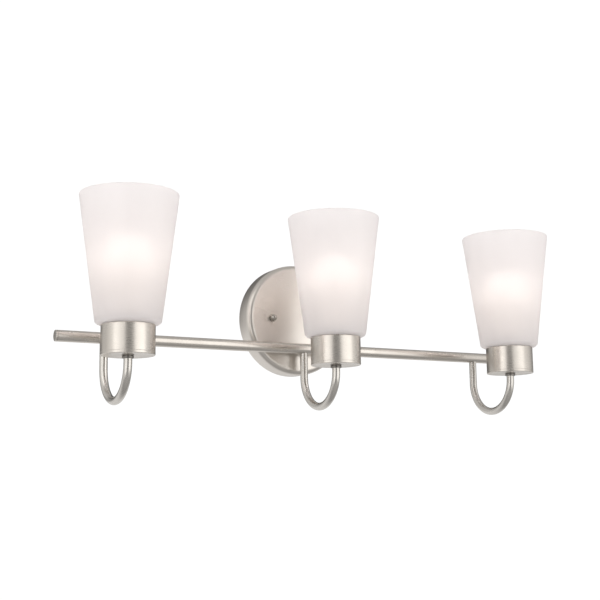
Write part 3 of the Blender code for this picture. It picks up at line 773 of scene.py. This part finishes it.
# Cups: drawn steel, satin nickel plated and brushed round, with a rolled lip, a fine turned line
# near the foot and a hole in the floor for the loop's end. A collar and a hexagon nut clamp the
# floor between them; the collar's dark nickel is painted shade where the loop enters the cup.
def upright(node, centre):
    """A round piece's radius, and its bottom and top counted from centre's height."""
    low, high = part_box(node)
    return (high.x - low.x) / 2, low.z - centre.z, high.z - centre.z


LIP_RADIUS, CUP_WALL, CUP_FLOOR, LIP_EASE, FOOT_EASE = 0.0245, 0.0015, 0.0020, 0.0006, 0.0008
LINE_HEIGHT, LINE_DEPTH, LINE_HALF, LINE_EASE = 0.0028, 0.00012, 0.00025, 0.00005
cup_low, cup_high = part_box("cup_left")
cup_radius = (cup_high.x - cup_low.x) / 2
tube_bore = loop_radius + CLEARANCE
cup_centre = {side: Vector((light_x[side], cup_y, cup_high.z)) for side in SIDES}
cup_depth = cup_low.z - cup_high.z
# Painted shade: the collar gets a dark copy of the nickel for the shade where the loop meets the
# cup's floor.
dark_nickel = brushed_metal("dark_nickel", (0.27, 0.255, 0.24), (0.22, 0.21, 0.195), 0.30, 0.42,
                            (700.0, 700.0, 2800.0), HERE, 0.10)
line_low = cup_depth + LINE_HEIGHT
cup_outline = [
    (LIP_RADIUS, 0.0), (cup_radius, 0.0, LIP_EASE),
    (cup_radius, line_low + 2 * LINE_HALF, LINE_EASE),
    (cup_radius - LINE_DEPTH, line_low + LINE_HALF, 0.0), (cup_radius, line_low, LINE_EASE),
    (cup_radius, cup_depth, FOOT_EASE), (tube_bore, cup_depth), (tube_bore, cup_depth + CUP_FLOOR),
    (cup_radius - CUP_WALL, cup_depth + CUP_FLOOR, FOOT_EASE),
    (cup_radius - CUP_WALL, -CUP_WALL), (LIP_RADIUS, -CUP_WALL)]
for side in SIDES:
    centre = cup_centre[side]
    cup_satin = brushed_metal(f"cup_satin_nickel_{side}", SATIN_LIGHT, SATIN_DARK, 0.25, 0.33,
                              (160.0, 160.0, 5200.0), centre, 0.12)
    cup = spun(f"drawn_cup_{side}", eased(cup_outline, 0.0003), centre, UP, cup_satin, 160)
    fitted(cup, "root", "brushed_nickel", f"cup_{side}")
    radius, bottom, top = upright(f"cup_collar_{side}", centre)
    outline = [(radius, top, 0.0002), (radius, bottom, 0.0007), (tube_bore, bottom, 0.0001),
               (tube_bore, top, 0.0)]
    collar = spun(f"loop_collar_{side}", eased(outline, 0.0), centre, UP, dark_nickel, 96)
    fitted(collar, "root", "dark_nickel", f"cup_collar_{side}")
    low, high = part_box(f"cup_nut_{side}")
    nut = hexagon_nut(f"floor_nut_{side}", high.y - low.y, tube_bore, low.z - centre.z,
                      high.z - centre.z, centre, UP, zinc)
    fitted(nut, "root", "zinc_steel", f"cup_nut_{side}")


# Lampholders: white glazed ceramic with a brass screw shell and a sprung centre contact.
# The shell is rolled thin brass, its thread in step with the bulb's.
SCREW_PITCH, SCREW_DEPTH, SHELL_INNER, SHELL_WALL = 0.003629, 0.0008, 0.0132, 0.0005
CAVITY, FLOOR_THICK, BUTTON_RADIUS, BUTTON_STEP = 0.0144, 0.006, 0.0024, 0.0008
GROOVES, GROOVE_TOP, GROOVE_PITCH, GROOVE_DEPTH = 3, 0.0042, 0.0016, 0.0005
glaze = moulded("white_glaze", (0.86, 0.85, 0.81), (0.90, 0.89, 0.86), 0.10, 0.24, 900.0)
brass = brushed_metal("pressed_brass", (0.83, 0.64, 0.30), (0.74, 0.55, 0.24), 0.20, 0.34,
                      (900.0, 900.0, 2400.0), HERE, 0.08)
for side in SIDES:
    centre = cup_centre[side]
    radius, bottom, top = upright(f"socket_body_{side}", centre)
    shelf = bottom + FLOOR_THICK
    holder = [(CAVITY + 0.0010, top, 0.0004), (radius, top, 0.0009), (radius, top - 0.0040, 0.0002)]
    for groove in range(GROOVES):
        turn = top - GROOVE_TOP - groove * GROOVE_PITCH
        holder += [(radius - GROOVE_DEPTH, turn, 0.0002), (radius, turn - GROOVE_PITCH / 2, 0.0002)]
    holder += [(radius, bottom, 0.0012), (tube_bore, bottom, 0.0004), (tube_bore, shelf, 0.0004),
               (CAVITY, shelf, 0.0010), (CAVITY, top - 0.0012, 0.0004)]
    body = spun(f"lampholder_{side}", eased(holder, 0.0003), centre, UP, glaze, 128)
    fitted(body, "root", "glazed_ceramic", f"socket_body_{side}")

    _, bottom, top = upright(f"socket_screw_shell_{side}", centre)
    outward, inward = [
        thread_rings(centre, UP, bottom, top, reach, SCREW_DEPTH, SCREW_PITCH, 96, 12, 0.3)
        for reach in (SHELL_INNER + SHELL_WALL, SHELL_INNER)]
    shell = skin(f"screw_shell_{side}", outward + inward[::-1], brass, crisp=50.0)
    fitted(shell, "root", "brass", f"socket_screw_shell_{side}")

    radius, bottom, top = upright(f"socket_contact_{side}", centre)
    step = bottom + BUTTON_STEP
    button = [(0.0, top), (BUTTON_RADIUS, top - 0.0003, 0.0004), (BUTTON_RADIUS, step, 0.0003),
              (radius, step, 0.0002), (radius, bottom, 0.0002), (0.0, bottom)]
    contact = spun(f"centre_contact_{side}", eased(button, 0.0), centre, UP, brass, 64)
    fitted(contact, "root", "brass", f"socket_contact_{side}")


# Shade rings: zinc-plated steel, screwed on the lampholder over the shade's foot, with finger
# ribs round the flange. The ribs are set round the ring by a tree and become part of it.
def ribbed_tree():
    tree, given = new_tree("ribs_round_a_ring", {
        "Ring": "Geometry", "Ribs": "Int", "Reach": "Float", "Rib Size": "Vector",
        "Place": "Vector", "Finish": "Material"}, "Ribbed")
    circle = wired(tree, "GeometryNodeMeshCircle", {
        "Vertices": given["Ribs"], "Radius": given["Reach"]})
    rib = wired(tree, "GeometryNodeMeshCube", {"Size": given["Rib Size"]})
    place = wired(tree, "GeometryNodeInputPosition")
    facing = wired(tree, "FunctionNodeAlignRotationToVector", {
        "Vector": place.outputs["Position"]}, axis="X")
    stand = wired(tree, "GeometryNodeInstanceOnPoints", {
        "Points": circle.outputs["Mesh"], "Instance": rib.outputs["Mesh"],
        "Rotation": facing.outputs["Rotation"]})
    lift = wired(tree, "GeometryNodeTransform", {
        "Geometry": stand.outputs["Instances"], "Translation": given["Place"]})
    both = wired(tree, "GeometryNodeJoinGeometry", {"Geometry": lift.outputs["Geometry"]})
    tree.links.new(given["Ring"], both.inputs["Geometry"])
    hand_out(tree, both.outputs["Geometry"], given["Finish"], "Ribbed")
    return tree


RIBBED = ribbed_tree()
RIB_COUNT, RIB_SIZE, RIB_DROP = 48, (0.0008, 0.0009, 0.0026), 0.0018
HUB_RADIUS, RING_BORE, FLANGE, FILLET_TOP = 0.0226, 0.0198, 0.0018, 0.0025
for side in SIDES:
    centre = cup_centre[side]
    radius, bottom, top = upright(f"shade_ring_{side}", centre)
    outline = [(HUB_RADIUS, top, 0.0004), (HUB_RADIUS, bottom + FILLET_TOP, 0.0006),
               (radius, bottom + FLANGE, 0.0004), (radius, bottom, 0.0003),
               (RING_BORE, bottom, 0.0002), (RING_BORE, top, 0.0002)]
    ring = spun(f"shade_clamp_{side}", eased(outline, 0.0), centre, UP, zinc, 128)
    ribs = ring.modifiers.new("ribs", "NODES")
    ribs.node_group = RIBBED
    set_inputs(ribs, Ribs=RIB_COUNT, Reach=HUB_RADIUS, Finish=zinc,
               **{"Rib Size": RIB_SIZE, "Place": centre + Vector((0, 0, top - RIB_DROP))})
    baked(ring)
    creased(ring.data)
    fitted(ring, "root", "zinc_steel", f"shade_ring_{side}")


# Shades: blown white glass, satin etched outside, a cone with a rounded foot and a fire-polished
# rim. The wall scatters the lamp's light and is lit through from inside.
def etched_glass(centre):
    """White glass that scatters light through: an etched skin and faint streaks from blowing."""
    finish, tree, shader = new_finish("etched_white_glass")
    frost = pattern(tree, (1500.0, 1500.0, 1500.0), centre)
    streak = pattern(tree, (46.0, 46.0, 12.0), centre, detail=2.0, distortion=0.6)
    toned(tree, streak, shader, (0.935, 0.915, 0.915), (0.915, 0.895, 0.895))
    tree.links.new(spread(tree, frost, GLOSS_SPAN, (0.36, 0.48)), shader.inputs["Roughness"])
    relief(tree, frost, shader, 0.06, 0.0001)
    shader.inputs["Specular IOR Level"].default_value = 0.35
    shader.inputs["Transmission Weight"].default_value = 0.60
    glow = wired(tree, "ShaderNodeBsdfTranslucent", {"Color": (0.97, 0.95, 0.945, 1.0)})
    through = wired(tree, "ShaderNodeMixShader", {
        "Fac": 0.35, 1: shader.outputs["BSDF"], 2: glow.outputs["BSDF"]})
    surface = tree.nodes["Material Output"].inputs["Surface"]
    tree.links.new(through.outputs["Shader"], surface)
    return finish


shade_low, shade_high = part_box("glass_shade_left")
shade_top_radius = (shade_high.x - shade_low.x) / 2
shade_foot, shade_rim = shade_low.z - cup_high.z, shade_high.z - cup_high.z
SHADE_WALL, FOOT_RADIUS, FOOT_ROUND, FITTER = 0.0030, 0.0346, 0.0050, 0.0210
RIM_ROUND, FITTER_EASE, FLARED_TO = 0.0013, 0.0008, 0.0533
slope = (FLARED_TO - FOOT_RADIUS) / (shade_rim - shade_foot)
flare = math.degrees(math.atan(slope))
foot_centre = (FOOT_RADIUS + slope * FOOT_ROUND - FOOT_ROUND / math.cos(math.radians(flare)),
               shade_foot + FOOT_ROUND)
shade_outline = [
    (FITTER, shade_foot, FITTER_EASE), *arc(foot_centre, FOOT_ROUND, -90, -flare, 12),
    (shade_top_radius, shade_rim, RIM_ROUND), (shade_top_radius - SHADE_WALL, shade_rim, RIM_ROUND),
    *arc(foot_centre, FOOT_ROUND - SHADE_WALL, -flare, -90, 8),
    (FITTER, shade_foot + SHADE_WALL, FITTER_EASE)]
etched = etched_glass(HERE)
for side in SIDES:
    shade = spun(f"etched_shade_{side}", eased(shade_outline, 0.0, 6), cup_centre[side], UP,
                 etched, 160)
    fitted(shade, "root", "frosted_glass", f"glass_shade_{side}")


# Bulbs: inside-frosted glass on a rolled screw base with a black insulator and a soldered tip.
# The bulb and its base turn together as they rise; the round tip rises with them.
GLOW_COLOUR, FADED_GLOW, GLOW_STRENGTH = (1.0, 0.93, 0.88), (0.20, 0.18, 0.165), 1.32
bulb_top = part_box("bulb_glass_left")[1].z
GLOW_SPAN = (bulb_top - 0.056, bulb_top - 0.002)


def lit_envelope():
    """Frosted glass that glows round the filament and fades out towards the neck."""
    finish, tree, shader = new_finish("lit_bulb_glass")
    frost = pattern(tree, (300.0, 300.0, 300.0), HERE, detail=2.0)
    toned(tree, frost, shader, (1.0, 0.96, 0.90), (0.98, 0.94, 0.88))
    tree.links.new(spread(tree, frost, GLOSS_SPAN, (0.20, 0.30)), shader.inputs["Roughness"])
    place = wired(tree, "ShaderNodeTexCoord").outputs["Object"]
    height = wired(tree, "ShaderNodeSeparateXYZ", {"Vector": place}).outputs["Z"]
    toned(tree, height, shader, FADED_GLOW, GLOW_COLOUR, GLOW_SPAN, "Emission Color")
    shader.inputs["Emission Strength"].default_value = GLOW_STRENGTH
    return finish


lit_glass = lit_envelope()
rolled_metal = brushed_metal("rolled_base_metal", (0.78, 0.78, 0.77), (0.68, 0.68, 0.66),
                             0.18, 0.30, (700.0, 700.0, 2600.0), HERE, 0.08)
black_glass = moulded("black_insulator", (0.020, 0.020, 0.022), (0.030, 0.030, 0.032), 0.10, 0.22)
BULB_RADIUS, GLASS_WALL, BASE_FOOT, BASE_CONE = 0.0300, 0.0012, 0.0095, 0.003
DISC_RADIUS, TIP_RADIUS, TIP_HEIGHT = 0.0060, 0.0042, 0.0012
SOLDER_RADIUS, SOLDER_ROUND, SOLDER_EDGE = 0.0036, 0.0002, 0.0011
for side in SIDES:
    centre = cup_centre[side]
    _, neck, crown = upright(f"bulb_glass_{side}", centre)
    globe = (0.0, crown - BULB_RADIUS)
    waist = [(0.0225, globe[1] - 0.0240, 0.006), (0.0166, globe[1] - 0.0400, 0.008),
             (0.0138, globe[1] - 0.0500, 0.006), (0.0132, neck, 0.0)]
    outline = arc(globe, BULB_RADIUS, 90, -30, 28) + waist
    outline += [(r - GLASS_WALL, h, e) for r, h, e in waist[::-1]]
    outline += arc(globe, BULB_RADIUS - GLASS_WALL, -30, 90, 20)
    envelope = spun(f"bulb_envelope_{side}", eased(outline, 0.0, 6), centre, UP, lit_glass, 96)
    fitted(envelope, f"bulb_{side}", "bulb_glass", f"bulb_glass_{side}")

    radius, bottom, top = upright(f"bulb_base_{side}", centre)
    shoulder = bottom + BASE_CONE
    outward, inward = [
        thread_rings(centre, UP, shoulder + wall, top, radius - wall, SCREW_DEPTH, SCREW_PITCH,
                     96, 12, 0.5) for wall in (0.0, SHELL_WALL)]
    rings = [ring_at(centre, UP, BASE_FOOT, bottom, 96), *outward, *inward[::-1],
             ring_at(centre, UP, BASE_FOOT - SHELL_WALL, bottom + 0.0001, 96)]
    base = skin(f"screw_base_{side}", rings, rolled_metal, crisp=50.0)
    fitted(base, f"bulb_{side}", "bulb_base_metal", f"bulb_base_{side}")

    radius, bottom, top = upright(f"bulb_contact_{side}", centre)
    rise = bottom + TIP_HEIGHT
    button = [(0.0, top), (radius, top, 0.0003), (DISC_RADIUS, rise, 0.0008),
              (TIP_RADIUS, rise, 0.0), (SOLDER_RADIUS, bottom + SOLDER_ROUND, 0.0008),
              (0.0, bottom)]
    insulator = spun(f"insulator_and_tip_{side}", eased(button, 0.0), centre, UP, black_glass, 64)
    insulator.data.materials.append(rolled_metal)
    for polygon in insulator.data.polygons:
        soldered = polygon.center.z - centre.z < bottom + SOLDER_EDGE
        polygon.material_index = 1 if soldered else 0
    fitted(insulator, f"bulb_tip_{side}", "black_glass", f"bulb_contact_{side}")


# Leads: insulated pairs from each lampholder, round its loop and along the bar to the terminal
# block. They stay inside the tubes all the way and come out only within the canopy.
def smooth_route(corners, samples):
    """Points along a smooth curve through the corners, each bend within its own stretch."""
    places = [Vector(corner) for corner in corners]
    padded = [places[0], *places, places[-1]]
    headings = [(padded[i + 2] - padded[i]).normalized() for i in range(len(places))]
    route = []
    for i in range(len(places) - 1):
        start, end = places[i], places[i + 1]
        reach = (end - start).length
        for step in range(samples):
            t = step / samples
            route.append(start * (2 * t ** 3 - 3 * t ** 2 + 1)
                         + headings[i] * reach * (t ** 3 - 2 * t ** 2 + t)
                         + end * (3 * t ** 2 - 2 * t ** 3)
                         + headings[i + 1] * reach * (t ** 3 - t ** 2))
    route.append(places[-1])
    return route


WIRE_RADIUS, LANE_OUT, LANE_UP, LANE_DOWN, WIRE_GAP = 0.0006, 0.00104, 0.0006, 0.0012, 0.0003
insulation = moulded("lead_insulation", (0.88, 0.86, 0.80), (0.80, 0.78, 0.72), 0.38, 0.52, 1500.0)
for side, sign in zip(SIDES, (-1, 0, 1)):
    x, y, z = light_x[side], bar_axis.y, bar_axis.z
    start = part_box(f"socket_contact_{side}")[0].z - WIRE_GAP
    lane_x, lane_z = sign * LANE_OUT, z + (LANE_UP if sign else -LANE_DOWN)
    # Up through the bar's floor, along the bar in its own lane, back through the nipple and up
    # to the terminal block; the middle lead goes straight back.
    corners = [(x, y, z - 0.006)]
    if sign:
        corners += [(x, y, z - 0.0018), (x - sign * 0.0018, y, lane_z),
                    (x - sign * 0.010, y, lane_z), (sign * 0.012, y, lane_z),
                    (sign * 0.0030, y + 0.0006, lane_z), (lane_x, y + 0.0028, lane_z)]
    else:
        corners += [(x, y + 0.0006, z - 0.0022), (x, y + 0.0024, lane_z)]
    corners += [(lane_x, y + 0.006, lane_z), (lane_x, -0.0180, lane_z), (lane_x, -0.0155, lane_z),
                (sign * LEAD_PITCH * 0.6, -0.0100, z + 0.006),
                (sign * LEAD_PITCH, block_middle.y, block_low.z - 0.006),
                (sign * LEAD_PITCH, block_middle.y, block_low.z - WIRE_GAP)]
    route = loop_path(x, z - 0.0061, start)[:0:-1]
    route = [Vector((x, cup_y, start)), *route[1:], *smooth_route(corners, 5)]
    lead = swept(f"lead_pair_{side}", route, WIRE_RADIUS, 12, insulation)
    fitted(lead, "root", "lead_insulation", f"lead_{side}")
